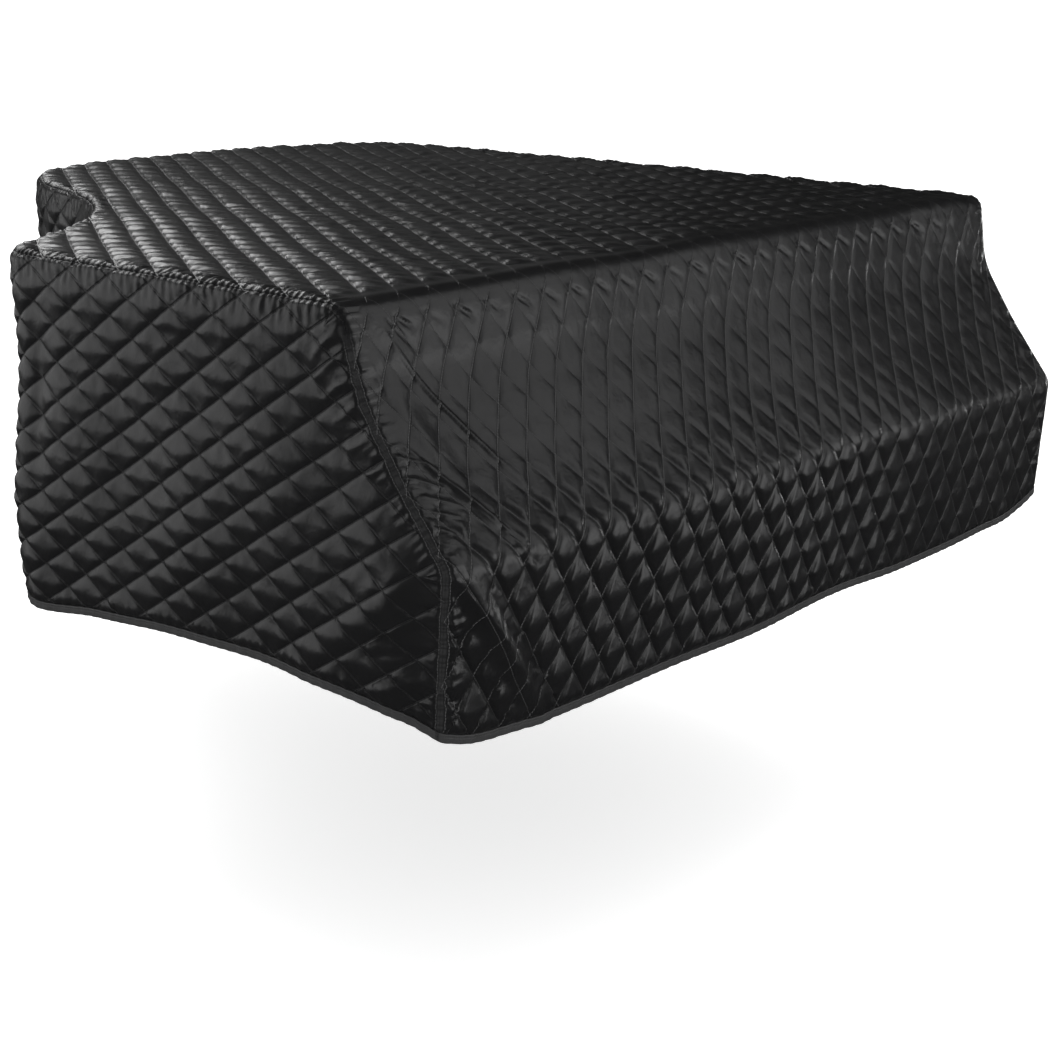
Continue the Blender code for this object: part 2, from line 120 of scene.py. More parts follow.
# Fineness of the sheets: cells along both sides of a diamond, how they crowd at the stitch lines, where the
# lid's and the tail's begin, rows of points beside seams, creases and hems, and the gaps between them
TOP_CELLS = (10, 6)
TAIL_CELLS = (8, 5)
FRONT_CELLS = (8, 8)
WALL_CELLS = (9, 9)
LID_PULLS = (0.0, 0.5)
EVEN_PULLS = (0.3, 0.3)
LID_FROM, TAIL_FROM = 0.02, 0.85
SEAM_STEP = 0.0026
SEAM_ROWS = (0.0022, 0.0042, 0.0060, 0.0085, 0.0120, 0.0170, 0.0230, 0.0290)
RIDGE_STEP = 0.0045
RIDGE_ROWS = (-2.0, -1.2, -0.6, 0.0, 0.6, 1.2, 2.0)
HEM_STEP = 0.0055
HEM_ROWS = (0.005, 0.011)
LINING_STEP = 0.030
LINING_INSET = 0.012
ROWS_INSET = 0.0021
RIDGE_GAP = 0.0018
RIDGES_FROM_SEAM, RIDGES_FROM_HEM = 0.0300, 0.0125
GRID_FROM_SEAM, GRID_FROM_HEM, GRID_FROM_RIDGES = 0.0330, 0.0135, 0.0040


# -------- shape functions of the solids


def smooth(value):
    value = np.clip(value, 0.0, 1.0)
    return value * value * (3.0 - 2.0 * value)


def spread(values, low, high):
    return smooth((values - low) / (high - low))


def unit(vectors):
    return vectors / np.linalg.norm(vectors, axis=-1, keepdims=True)


def along(points):
    """The run of each point along a line."""
    return np.concatenate([[0.0], np.cumsum(np.linalg.norm(np.diff(points, axis=0), axis=1))])


def cubic(t, start, leave, end, arrive):
    """The cubic from start to end with the given slopes there."""
    return (
        (2 * t**3 - 3 * t**2 + 1) * start
        + (t**3 - 2 * t**2 + t) * leave
        + (3 * t**2 - 2 * t**3) * end
        + (t**3 - t**2) * arrive
    )


def heading(degrees):
    return np.array((math.cos(math.radians(degrees)), math.sin(math.radians(degrees))))


def curve_through(rows):
    """A smooth line through places that have headings."""
    line = [np.array(rows[0][:2])]
    for (x0, y0, head0, _), (x1, y1, head1, reach) in zip(rows, rows[1:]):
        start, end = np.array((x0, y0)), np.array((x1, y1))
        pull = np.linalg.norm(end - start) * reach
        leave, arrive = pull * heading(head0), pull * heading(head1)
        for step in range(1, CURVE_STEPS + 1):
            line.append(cubic(step / CURVE_STEPS, start, leave, end, arrive))
    return np.array(line)


def rounded(rows):
    """A line whose corners are rounded by arcs."""
    corners = [np.array(row[:2]) for row in rows]
    line = [corners[0]]
    for before, corner, after, (_, _, radius) in zip(corners, corners[1:], corners[2:], rows[1:]):
        back, ahead = unit(before - corner), unit(after - corner)
        half = math.acos(np.clip(back @ ahead, -1.0, 1.0)) / 2
        reach = radius / math.tan(half)
        middle = corner + unit(back + ahead) * radius / math.sin(half)
        first = corner + back * reach - middle
        last = corner + ahead * reach - middle
        turn = math.pi - 2 * half
        for t in np.arange(ARC_STEPS + 1) / ARC_STEPS:
            spoke = math.sin((1 - t) * turn) * first + math.sin(t * turn) * last
            line.append(middle + spoke / math.sin(turn))
    line.append(corners[-1])
    return np.array(line)


def prolonged(line, by):
    """A line carried straight on at both ends, and the run of each point."""
    first, last = unit(line[0] - line[1]) * by, unit(line[-1] - line[-2]) * by
    longer = np.vstack([line[0] + first, line, line[-1] + last])
    return longer, along(longer) - by


LID_LINE, LID_RUN = prolonged(curve_through(LID), STRAIGHT_SIDE)
LID_LENGTH = LID_RUN[-2]
FRONT_LINE, FRONT_RUN = prolonged(rounded(FRONT), STRAIGHT_FRONT)


def at(line, run, where):
    return np.stack([np.interp(where, run, line[:, 0]), np.interp(where, run, line[:, 1])], -1)


def direction(line, run, where, reach=0.006):
    return unit(at(line, run, where + reach) - at(line, run, where - reach))


def lid_at(run):
    ahead = direction(LID_LINE, LID_RUN, run)
    return at(LID_LINE, LID_RUN, run), np.stack([-ahead[..., 1], ahead[..., 0]], -1)


def front_at(v):
    run = FLAT_FROM - v
    ahead = direction(FRONT_LINE, FRONT_RUN, run)
    return at(FRONT_LINE, FRONT_RUN, run), np.stack([ahead[..., 1], -ahead[..., 0]], -1)


def front_v(z):
    """The place v on the flat front cloth that lies at a height."""
    return FLAT_FROM - np.interp(-z, -FRONT_LINE[1:, 1], FRONT_RUN[1:])


def waves(rows, u, v):
    """Long waves; each row has the waves per metre both ways, the phase and the height."""
    return sum(
        height * np.sin(math.tau * (along_u * u + along_v * v) + phase)
        for along_u, along_v, phase, height in rows
    )


def creases(rows, u, v):
    """Straight folds; each row has the start, the end, the height and the half width."""
    total = np.zeros_like(u)
    for u0, v0, u1, v1, height, half_width in rows:
        run_u, run_v = u1 - u0, v1 - v0
        share = ((u - u0) * run_u + (v - v0) * run_v) / (run_u**2 + run_v**2)
        share = np.clip(share, 0.0, 1.0)
        away = np.hypot(u - u0 - share * run_u, v - v0 - share * run_v)
        ends = np.sin(math.pi * (0.1 + 0.8 * share))
        total += height * ends * np.exp(-((away / half_width) ** 2))
    return total


def through(rows, where):
    """A smooth value between the rows of places and values."""
    places, values = np.array(rows).T
    index = int(np.clip(np.searchsorted(places, where) - 1, 0, len(rows) - 2))
    step = places[index + 1] - places[index]
    leave, arrive = step * np.gradient(values, places)[index : index + 2]
    return float(cubic((where - places[index]) / step, values[index], leave, values[index + 1], arrive))


def hem_of_side(run):
    first, last = WALL_HEM[0][0], WALL_HEM[-1][0]
    if run < first:
        share = smooth((first - run) / (CORNER_REACH + first / 2))
        return WALL_HEM[0][1] + (FRONT_HEM[0][1] - WALL_HEM[0][1]) * share
    if run < last:
        return through(WALL_HEM, run)
    level = SIDE_DROP + 0.004 * math.sin(5.0 * (run - last)) * smooth((LID_LENGTH - run) / 0.3)
    far = 1 - smooth((LID_LENGTH - run + CORNER_REACH) / FAR_HEM_RISE)
    return level + (FRONT_HEM[-1][1] - level) * far


def top_surface(u, v):
    spot, normal = front_at(v)
    near_corner = smooth((u - FAR_CORNER_FROM) / (HALF - FAR_CORNER_FROM))
    forward = FAR_CORNER_FORWARD * near_corner * np.exp(-((v / FAR_CORNER_REACH) ** 2))
    points = np.stack([u, spot[:, 0] - forward, spot[:, 1]], -1)
    return points, np.stack([np.zeros_like(u), normal[:, 0], normal[:, 1]], -1)


def top_relief(u, v):
    return waves(TOP_WAVES, u, v) + creases(FRONT_CREASES, u, v)


def side_surface(run, depth):
    spot, normal = lid_at(run)
    points = np.stack([spot[:, 0], spot[:, 1], -depth], -1)
    return points, np.stack([normal[:, 0], normal[:, 1], np.zeros_like(run)], -1)


def side_relief(run, depth):
    depths, outwards = zip(*WALL)
    return (
        np.interp(depth, depths, outwards)
        + waves(SIDE_WAVES, run, depth) * smooth(depth / 0.3)
        + creases(SIDE_CREASES, run, depth)
    )


# -------- noise


def lattice_value(i, j, seed):
    """A fixed pseudo-random number from 0 to 1 for each whole-numbered place."""
    mixed = i.astype(np.int64) * 374761393 + j.astype(np.int64) * 668265263 + seed * 974634777
    mixed = (mixed ^ (mixed >> 13)) * 1274126177
    return ((mixed ^ (mixed >> 16)) & 0xFFFF) / 65535.0


def cells_of(x, y):
    """The whole and the fractional parts of each place's two numbers."""
    return np.floor(x), np.floor(y), x % 1, y % 1


def noise(x, y, seed):
    """Smooth gradient noise from about -1 to 1."""
    i, j, fx, fy = cells_of(x, y)
    total = np.zeros_like(x)
    wx, wy = [f * f * f * (f * (f * 6 - 15) + 10) for f in (fx, fy)]
    for di in (0, 1):
        for dj in (0, 1):
            turn = math.tau * lattice_value(i + di, j + dj, seed)
            slope = np.cos(turn) * (fx - di) + np.sin(turn) * (fy - dj)
            total += slope * (wx if di else 1 - wx) * (wy if dj else 1 - wy)
    return total * 1.5


def fold_noise(x, y, seed):
    """Noise with sharp crests and round valleys, from about 0 to 1."""
    return 1.0 - np.abs(noise(x, y, seed)) * 1.6


# -------- the seam between the cloths


def closed(loop):
    return np.concatenate([loop, loop[:1]])


def tree_of(spots):
    tree = KDTree(len(spots))
    for index, (a, b) in enumerate(spots):
        tree.insert((a, b, 0.0), index)
    tree.balance()
    return tree


class Seam:
    """Where the seam runs, hem to hem round the lid, on both flat cloths and in space."""

    def __init__(self):
        near_hem = front_v(-through(FRONT_HEM, -HALF))
        far_hem = front_v(-through(FRONT_HEM, HALF))
        up_near_corner = self.beside(np.linspace(near_hem, SEAM_START, CORNER_SAMPLES)[:-1], -1)
        down_far_corner = self.beside(np.linspace(SEAM_START, far_hem, CORNER_SAMPLES)[1:], 1)
        table = np.vstack([up_near_corner, self.round_lid(), down_far_corner])
        length = along(table[:, 4:7])
        self.length = np.linspace(0, length[-1], round(length[-1] / SEAM_STEP) + 1)
        even = np.array([np.interp(self.length, length, column) for column in table.T]).T
        self.top, self.side, self.edge = even[:, 0:2], even[:, 2:4], even[:, 4:7]
        out_top, out_side = even[:, 7:10], even[:, 10:13]
        self.out = unit(out_top + out_side)
        self.across = unit(out_side - out_top)
        lid_part = np.flatnonzero(self.side[:, 1] < LID_SEAM_DEPTH)
        self.near_corner, self.far_corner = self.length[lid_part[[0, -1]]]

    def beside(self, v, hand):
        """Rows for a corner: place on the top cloth, on the wall and in space, and both normals."""
        u = np.full_like(v, hand * HALF)
        points, normals = top_surface(u, v)
        run = points[:, 1] if hand < 0 else LID_LENGTH - points[:, 1]
        side = np.zeros_like(points)
        side[:, 0] = hand
        return np.hstack([u[:, None], v[:, None], run[:, None], -points[:, 2:], points, normals, side])

    def round_lid(self):
        """The same rows for the seam round the lid."""
        run = np.linspace(SEAM_START, LID_LENGTH - SEAM_START, LID_SAMPLES)[:, None]
        spot, normal = lid_at(run[:, 0])
        flat = np.zeros_like(run)
        return np.hstack([spot, run, flat, spot, flat, flat, flat, flat + 1, normal, flat])

    def near(self, spots, line):
        """For each flat point: the run along the seam that is nearest, and the distance to it."""
        tree = tree_of(line)
        found = np.array([tree.find((a, b, 0.0))[1] for a, b in spots])
        best = np.full(len(spots), np.inf)
        run = np.zeros(len(spots))
        for start in (np.maximum(found - 1, 0), np.minimum(found, len(line) - 2)):
            base, side = line[start], line[start + 1] - line[start]
            share = ((spots - base) * side).sum(1) / (side * side).sum(1)
            share = np.clip(share, 0.0, 1.0)
            away = np.linalg.norm(spots - base - share[:, None] * side, axis=1)
            nearer = away < best
            best[nearer] = away[nearer]
            here = self.length[start] + share * (self.length[start + 1] - self.length[start])
            run[nearer] = here[nearer]
        return run, best


# -------- flat meshes


def inside(points, loop):
    """Which points lie inside a loop: a ray from there crosses it an odd number of times."""
    result = np.zeros(len(points), bool)
    x, y = points[:, 0], points[:, 1]
    for (x0, y0), (x1, y1) in zip(loop, np.roll(loop, -1, axis=0)):
        if y0 != y1:
            result ^= ((y0 > y) != (y1 > y)) & (x < (x1 - x0) * (y - y0) / (y1 - y0) + x0)
    return result


def distance(points, line, at_most=0.06):
    """Distance of each flat point to the nearest point of a line, up to a limit."""
    tree = tree_of(line)
    return np.array([min(at_most, tree.find((a, b, 0.0))[2]) for a, b in points])


def triangles(loop, spots):
    """Triangles between a loop's points and the points inside it, by their numbers."""
    count = len(loop)
    points = [tuple(p) for p in loop] + [tuple(p) for p in spots]
    edges = [(k, (k + 1) % count) for k in range(count)]
    _, _, faces, sources, _, _ = delaunay_2d_cdt(points, edges, [range(count)], 1, 1e-7)
    return [[sources[k][0] for k in face] for face in faces]


def offset_rows(line, inward, rows):
    """Points beside a line at each row's distance, staggered from row to row."""
    middle = (line[1:] + line[:-1]) / 2
    turned = (inward[1:] + inward[:-1]) / 2
    made = []
    for number, away in enumerate(rows):
        base, way = (middle, turned) if number % 2 == 0 else (line[1:-1], inward[1:-1])
        made.append(base + way * away)
    return made


def inward_of(loop):
    """Inward unit normals of a loop that runs anticlockwise."""
    ahead = unit(np.roll(loop, -2, axis=0) - np.roll(loop, 2, axis=0))
    return np.stack([-ahead[:, 1], ahead[:, 0]], -1)


def quilt_place(spots, quilt):
    """Place of each flat point on the quilting: whole numbers are stitch lines."""
    anchor, half_u, half_v = quilt
    a = (spots[:, 0] - anchor[0]) / half_u
    b = (spots[:, 1] - anchor[1]) / half_v
    return (a + b) / 2, (a - b) / 2


def lines_over(places, cells, pull):
    """Grid lines over a stretch of the quilting, so many to a diamond and closer at its stitch lines."""
    even = np.arange(math.floor(places.min()) * cells, math.ceil(places.max()) * cells + 1) / cells
    return even - pull * np.sin(math.tau * even) / math.tau


def grid_spots(loop, quilt, cells, pulls, v_from, v_to):
    """Points of a fine grid that runs along both families of stitch lines, in one stretch of v."""
    anchor, half_u, half_v = quilt
    low, high = loop.min(0), loop.max(0)
    corners = np.array([(a, b) for a in (low[0], high[0]) for b in (low[1], high[1])])
    lines = [lines_over(*row) for row in zip(quilt_place(corners, quilt), cells, pulls)]
    s, t = [g.ravel() for g in np.meshgrid(*lines)]
    spots = np.stack([anchor[0] + half_u * (s + t), anchor[1] + half_v * (s - t)], -1)
    spots = spots[(spots >= low).all(1) & (spots <= high).all(1)]
    spots = spots[(spots[:, 1] > v_from) & (spots[:, 1] <= v_to)]
    return spots[inside(spots, loop)]


def ridge_spots(ridges):
    """Rows of points along every narrow crease."""
    made = []
    for u0, v0, u1, v1, _, half_width in ridges:
        start, end = np.array((u0, v0)), np.array((u1, v1))
        ahead = unit(end - start)
        side = np.array((-ahead[1], ahead[0]))
        count = max(3, round(np.linalg.norm(end - start) / RIDGE_STEP))
        for number, offset in enumerate(RIDGE_ROWS):
            share = (np.arange(count) + 0.5 * (number % 2)) / count
            made.append(start + share[:, None] * (end - start) + side * offset * half_width)
    return np.vstack(made)


def thinned(spots, gap):
    """The points without any that stands closer than the gap to an earlier one."""
    tree = tree_of(spots)
    kept = np.ones(len(spots), bool)
    for index, (a, b) in enumerate(spots):
        if kept[index]:
            for _, other, _ in tree.find_range((a, b, 0.0), gap):
                if other > index:
                    kept[other] = False
    return spots[kept]


# -------- fine relief

# Heights of the quilting's padding, and how round and how low its crests are
LID_PUFF = 0.0034
SLOPE_PUFF = 0.0016
APRON_PUFF = 0.0085
WALL_PUFF = 0.0042
CREST_ROUND = 0.12
LOW_CREST = 0.48
# The raised band over the corner seams, and the stitches at its two sides
WELT_HEIGHT = 0.0005
WELT_REACH = 0.0044
WELT_BEAT = 0.0115
SEAM_STITCH = 0.0060
STITCH_SINK = 0.0009
STITCH_REACH = 0.0016
# Gathers that cross the seam round the lid, weaker past a run: reach, growth and seed on the top (-1) and
# on the wall (1)
RUFFLE_PITCH = 0.0118
RUFFLE_HEIGHT = 0.0019
RUFFLES = {-1: (0.046, 0.35, 58), 1: (0.022, -0.15, 66)}
RUFFLES_CALM = (1.6, 2.4)
# Ripples across the lid's strips between two stitch lines
STRIP_WIDTH = 0.0453
RIPPLE_HEIGHT = 0.0025
RIPPLE_STRETCH = 0.9
RIPPLE_RATE = 1.65
RIPPLE_HOLD = 0.0024
# Where the top cloth's parts begin and are full: the lid, the apron under the knuckle, its low crests, the
# calm right-hand part, the wrinkled far part, and the bend over the lid's front edge, which lies flat
LID_ZONE = (-0.010, 0.040)
APRON_RISE = 0.130
LOW_CRESTS = (-0.005, 0.050)
CALM_PART = (-0.15, 0.45)
FAR_PART = (0.42, 0.66)
LID_BEND, LID_BEND_REACH = 0.004, 0.026
# Heights of the small folds and of the soft wrinkles on the lid, the slope and the apron
TOP_FOLDS = (0.0002, 0.0004, 0.0013)
TOP_WRINKLES = (0.0003, 0.0005, 0.0010)
FAR_WRINKLES = 0.0018
# The wall stands proud just under the seam, and its diamonds are flatter there
OVERHANG = 0.0060
OVERHANG_RISE = (0.0, 0.055)
OVERHANG_FADE = (0.075, 0.170)
WALL_FLATTER = (0.020, 0.085)
# Gathers of the bound hem
HEM_WAVE = 0.0007
HEM_WAVE_PITCH = 0.021
HEM_REACH = 0.030
# How far in from the cut edges the padding and the creases reach their full height
INSET = 0.012
CREASE_INSET = 0.010

# Thin pulled creases on the front: start and end on the flat cloth, height, half width
FRONT_RIDGES = (
    (-0.696, -0.026, -0.545, -0.280, 0.0040, 0.0036),
    (-0.712, -0.190, -0.585, -0.376, 0.0050, 0.0042),
    (-0.740, -0.336, -0.560, -0.584, 0.0125, 0.0165),
    (-0.742, -0.352, -0.640, -0.470, 0.0022, 0.0035),
    (-0.738, -0.196, -0.672, -0.232, 0.0040, 0.0044),
    (-0.742, -0.222, -0.668, -0.262, 0.0046, 0.0046),
    (-0.742, -0.246, -0.655, -0.288, 0.0040, 0.0042),
    (-0.744, -0.268, -0.668, -0.300, 0.0044, 0.0044),
    (-0.744, -0.290, -0.690, -0.318, 0.0036, 0.0040),
    (-0.744, -0.312, -0.706, -0.330, 0.0030, 0.0036),
    (-0.676, -0.030, -0.640, -0.072, -0.0016, 0.0036),
    (-0.738, -0.030, -0.700, -0.130, 0.0014, 0.0036),
    (0.742, -0.060, 0.690, -0.130, 0.0014, 0.0050),
    (0.742, -0.100, 0.680, -0.190, -0.0014, 0.0060),
    (0.740, -0.170, 0.670, -0.260, 0.0015, 0.0060),
    (0.742, -0.250, 0.660, -0.330, -0.0014, 0.0060),
    (0.740, -0.330, 0.690, -0.430, 0.0014, 0.0060),
)
# Small nicks where the stitch lines turn over the lid's front edge
NICK_COUNT = 24
NICK_PLACES = -0.660 + 2 * HALF_SHORT * np.arange(NICK_COUNT)
NICK_DEPTHS = 0.0038 * (0.35 + 0.65 * abs(np.cos(1.7 * np.arange(NICK_COUNT))))
EDGE_NICKS = tuple((u, -0.031, u + 0.028, -0.049, -deep, 0.0036) for u, deep in zip(NICK_PLACES, NICK_DEPTHS))
# Pulled creases on the wall beside the near corner seam
WALL_RIDGES = (
    (-0.020, 0.020, 0.040, 0.075, 0.0026, 0.0050),
    (-0.030, 0.046, 0.034, 0.096, 0.0030, 0.0055),
    (-0.042, 0.078, 0.022, 0.122, 0.0026, 0.0050),
    (-0.056, 0.112, 0.006, 0.148, 0.0026, 0.0050),
    (-0.078, 0.150, -0.016, 0.178, 0.0022, 0.0045),
    (-0.096, 0.184, -0.046, 0.204, 0.0020, 0.0040),
    (-0.150, 0.360, -0.060, 0.400, 0.0030, 0.0065),
    (-0.152, 0.405, -0.050, 0.428, -0.0026, 0.0060),
    (-0.152, 0.440, -0.070, 0.470, 0.0026, 0.0060),
)


def sags(s, t, height, grip, upward, soft, slack=0.0, low=0.0):
    """Padded cloth that sags from its stitches: each diamond's upper half faces up, its lower half down.

    Slack keeps that share of its height over the lines of whole s, and low sets its crests lower.
    """
    i, j, fs, ft = cells_of(s, t)
    own = lattice_value(i, j, 15)
    rise = (fs - ft) * upward
    crest = 0.30 * (own - 0.5) + 0.14 * noise(1.9 * s, 1.9 * t, 16)
    crest = crest * (1 - low) - LOW_CREST * low
    fold = height * CREST_ROUND
    over, under = (rise - 1) / (1 - crest), (-1 - rise) / (1 + crest)
    facets = -fold * np.logaddexp(over * height / fold, under * height / fold)
    facets = np.maximum(facets, 0.0) * (0.80 + 0.4 * own)
    across = np.minimum(fs, 1 - fs) * grip + slack * height
    pinched = np.minimum(across, np.minimum(ft, 1 - ft) * grip)
    return -soft * np.logaddexp(-facets / soft, -pinched / soft)


def crumple(s, t, size, strength, seed):
    """Small folds that each diamond has for itself, none on its stitch lines."""
    i, j, fs, ft = cells_of(s, t)
    edge = (4 * fs * (1 - fs) * 4 * ft * (1 - ft)) ** 0.5
    turn = math.tau * lattice_value(i, j, seed + 1)
    x = (fs - 0.5) * np.cos(turn) + (ft - 0.5) * np.sin(turn) + 7.3 * i
    y = (ft - 0.5) * np.cos(turn) - (fs - 0.5) * np.sin(turn) + 5.9 * j
    folds = fold_noise(x * size, y * size * 0.5, seed)
    return strength * edge * (folds - 0.55)


def wrinkles(u, v, size, seed):
    """Soft random satin folds, from about -1 to 1, with crests sharper than valleys."""
    warp = 0.35 * noise(u / (2.6 * size), v / (2.6 * size), seed + 9)
    first = fold_noise(u / size + warp, v / size - warp, seed)
    second = fold_noise(u / (0.45 * size) + 3.7, v / (0.45 * size) + warp, seed + 3)
    return 0.7 * (first - 0.62) + 0.3 * (second - 0.62)


def noise_along(run, length, lane, seed):
    """Noise that varies along a line only."""
    return noise(run / length, run * 0 + lane, seed)


def gathers(run, away, spacing, reach, height, seed):
    """Puckers that stand at right angles to a seam and die out away from it."""
    phase = math.tau * run / spacing + 2.6 * noise_along(run, 5 * spacing, 0.5, seed)
    phase += away * 22 * noise(run / (4 * spacing), away / 0.05, seed + 1)
    own = 0.62 + 0.38 * noise(run / (1.7 * spacing), away / 0.09, seed + 2)
    length = reach * (0.75 + 0.6 * noise_along(run, 1.3 * spacing, 2.5, seed + 3))
    return height * own * np.sin(phase) * np.exp(-((away / np.maximum(length, 0.004)) ** 2))


def ruffles(run, away, hand):
    """Gathers that cross the seam round the lid; both cloths have the same ones at the seam."""
    reach, growth, seed = RUFFLES[hand]
    phase = math.tau * run / RUFFLE_PITCH + 3.4 * noise_along(run, 0.048, 0.5, 60)
    phase += away / reach * 2.0 * noise(run / 0.06, away / 0.05, seed)
    own = 0.62 + 0.45 * noise_along(run, 0.019, 1.5, 61)
    length = reach * (0.75 + 0.55 * noise_along(run, 0.016, 2.5, seed + 1))
    fading = np.exp(-((away / np.maximum(length, 0.006)) ** 2))
    fading *= 0.65 + growth * smooth(away / 0.009)
    return RUFFLE_HEIGHT * own * np.sin(phase) * fading * (1 - 0.6 * spread(run, *RUFFLES_CALM))


def seam_band(run, away):
    """Raised flat band over a corner seam, drawn in along the stitches at its two sides."""
    wobble = 0.5 * np.sin(math.tau * run / WELT_BEAT + 3.1 * noise_along(run, 0.055, 0.3, 40))
    wobble *= 0.6 + 0.5 * noise_along(run, 0.031, 4.1, 41)
    band = WELT_HEIGHT * (0.85 + 0.15 * wobble) / (1 + (away / WELT_REACH) ** 4)
    return band - STITCH_SINK * np.exp(-(((away - SEAM_STITCH) / STITCH_REACH) ** 2))


def at_corner(run):
    """1 on the two corner seams of the keyboard front, 0 on the seam round the lid."""
    near = 1 - spread(run, seam.near_corner - 0.05, seam.near_corner + 0.01)
    return np.maximum(near, spread(run, seam.far_corner - 0.01, seam.far_corner + 0.05))


def top_zones(v):
    """Shares of the lid, the slope and the apron under the knuckle at each place; they add up to 1."""
    lid = spread(v, *LID_ZONE)
    apron = spread(-v, -KNUCKLE_V - APRON_RISE, -KNUCKLE_V)
    return np.stack([lid, 1 - lid - apron, apron])


def top_padding(u, v, s, t, mask):
    """Padding of the quilting: round strips on the lid, sagging diamonds on the slope and the apron."""
    lid, slope, apron = top_zones(v)
    i, j, _, across = cells_of(s, t)
    own = lattice_value(i, j, 11)
    strip = lid * LID_PUFF * (4 * across * (1 - across)) ** 0.55 * (0.9 + 0.2 * own)
    low = 1 - spread(-v, LOW_CRESTS[0] - KNUCKLE_V, LOW_CRESTS[1] - KNUCKLE_V)
    calm = spread(u, *CALM_PART)
    grip = (0.075 - 0.043 * low) * (1 - 0.6 * calm)
    diamonds = slope * sags(s, t, SLOPE_PUFF, 0.013, 1, 0.0003, slack=0.5)
    diamonds += apron * (1 - 0.70 * calm) * sags(s, t, APRON_PUFF, grip, 1, 0.0004, low=low)
    return strip + diamonds * mask


def lid_ripples(s, t):
    """Ripples across each strip of the lid, which start at its left stitch line and die out."""
    back = HALF_LONG * (s - s.min()) * RIPPLE_STRETCH
    beat = RIPPLE_RATE * np.log1p(back) / (HALF_LONG * RIPPLE_STRETCH)
    beat += 0.22 * noise(s * 0.45, t * 0.9, 21) + 0.37 * np.floor(t)
    wave = np.sin(math.tau * beat) + 0.25 * np.sin(4 * math.pi * beat + 1.0)
    reach = 0.70 + 0.20 * noise(beat * 1.1, t * 1.9, 22)
    fading = np.exp(-((t % 1 / reach) ** 2.2)) * (0.9 + 0.5 * noise(beat * 0.9, t * 2.1, 23))
    near_line = np.abs(t - np.round(t)) * STRIP_WIDTH
    return RIPPLE_HEIGHT * wave * fading * (1 - np.exp(-((near_line / RIPPLE_HOLD) ** 2)))


def top_fine(spots, run, away, edge):
    """How far the outer face of the top and front cloth stands off its surface."""
    u, v = spots.T
    s, t = quilt_place(spots, TOP_QUILT)
    zones = top_zones(v)
    pulled = creases(FRONT_RIDGES, u, v)
    mask = 1 - 0.75 * np.clip(np.abs(pulled) / 0.0018, 0, 1)
    lid_edge = 1 - 0.92 * np.exp(-(((v - LID_BEND) / LID_BEND_REACH) ** 4))
    total = (top_padding(u, v, s, t, mask) + zones[0] * lid_ripples(s, t)) * lid_edge
    total += crumple(s, t, 2.3, TOP_FOLDS @ zones, 30)
    total += TOP_WRINKLES @ zones * wrinkles(u, v, 0.055, 50)
    total += FAR_WRINKLES * spread(u, *FAR_PART) * (1 - zones[0]) * wrinkles(u, v, 0.034, 57)
    total *= smooth(edge / INSET)
    total += pulled * smooth(away / CREASE_INSET) + creases(EDGE_NICKS, u, v)
    corner = at_corner(run) * (1 - 0.7 * spread(u, 0.0, 0.4))
    small = gathers(run, away, 0.0135, 0.026, 0.0021, 60) * corner
    soft = gathers(run, away, 0.0260, 0.045, 0.0012, 64)
    return total + (small + soft) * (1 - np.exp(-((away / 0.008) ** 2)))


def wall_fine(spots, run, away, edge):
    """How far the outer face of the wall stands off its surface."""
    u, v = spots.T
    s, t = quilt_place(spots, WALL_QUILT)
    upper = 1 - spread(away, *WALL_FLATTER)
    total = sags(s, t, WALL_PUFF, 0.032, -1, 0.0012, slack=0.35) * (1 - 0.35 * upper)
    total += crumple(s, t, 2.1, 0.0011, 70)
    total += 0.0011 * wrinkles(u, v, 0.060, 80) + 0.0005 * wrinkles(u, v, 0.022, 84)
    total *= smooth(edge / INSET)
    total += creases(WALL_RIDGES, u, v) * smooth(away / CREASE_INSET)
    total += OVERHANG * spread(away, *OVERHANG_RISE) * (1 - spread(v, *OVERHANG_FADE))
    corner = at_corner(run) * (1 - 0.7 * spread(u, 1.0, 3.0))
    small = gathers(run, away, 0.0135, 0.028, 0.0021, 90) * corner
    pleats = gathers(run, away, 0.0175, 0.070, 0.0008, 94) * (1 - 0.5 * corner)
    return total + (small + pleats) * (1 - np.exp(-((away / 0.010) ** 2)))


# -------- the two cloths


def put_in_scene(name, data):
    made = bpy.data.objects.new(name, data)
    bpy.context.scene.collection.objects.link(made)
    return made


def piece_of(name, points, faces, flat_faces, maps):
    """A piece with its flat maps, and with so many flat faces after the smooth ones."""
    mesh = bpy.data.meshes.new(name)
    mesh.vertices.add(len(points))
    mesh.vertices.foreach_set("co", (points - ORIGIN).ravel())
    mesh.loops.add(faces.size)
    mesh.loops.foreach_set("vertex_index", faces.ravel().astype(np.int32))
    mesh.polygons.add(len(faces))
    mesh.polygons.foreach_set("loop_start", np.arange(len(faces), dtype=np.int32) * faces.shape[1])
    mesh.polygons.foreach_set("use_smooth", np.arange(len(faces)) < len(faces) - flat_faces)
    for title, values in maps.items():
        layer = mesh.uv_layers.new(name=title)
        layer.uv.foreach_set("vector", values[faces.ravel()].astype(np.float32).ravel())
    mesh.update()
    mesh.validate()
    return put_in_scene(name, mesh)


def sink_at_edge(away):
    return EDGE_ROUND * (math.sqrt(2) - 1) * np.clip(1 - away / EDGE_ROUND, 0.0, 1.0) ** 2


def edge_points(hand, indices, extra):
    """Outer and inner points of a cloth's cut edge at the seam: hand -1 is the top, 1 the wall."""
    across = seam.across[indices] * -hand * SEAM_CROSSING
    sunk = (sink_at_edge(np.zeros(len(indices))) - extra)[:, None]
    outer = seam.edge[indices] - seam.out[indices] * sunk + across
    return outer, outer - seam.out[indices] * CLOTH


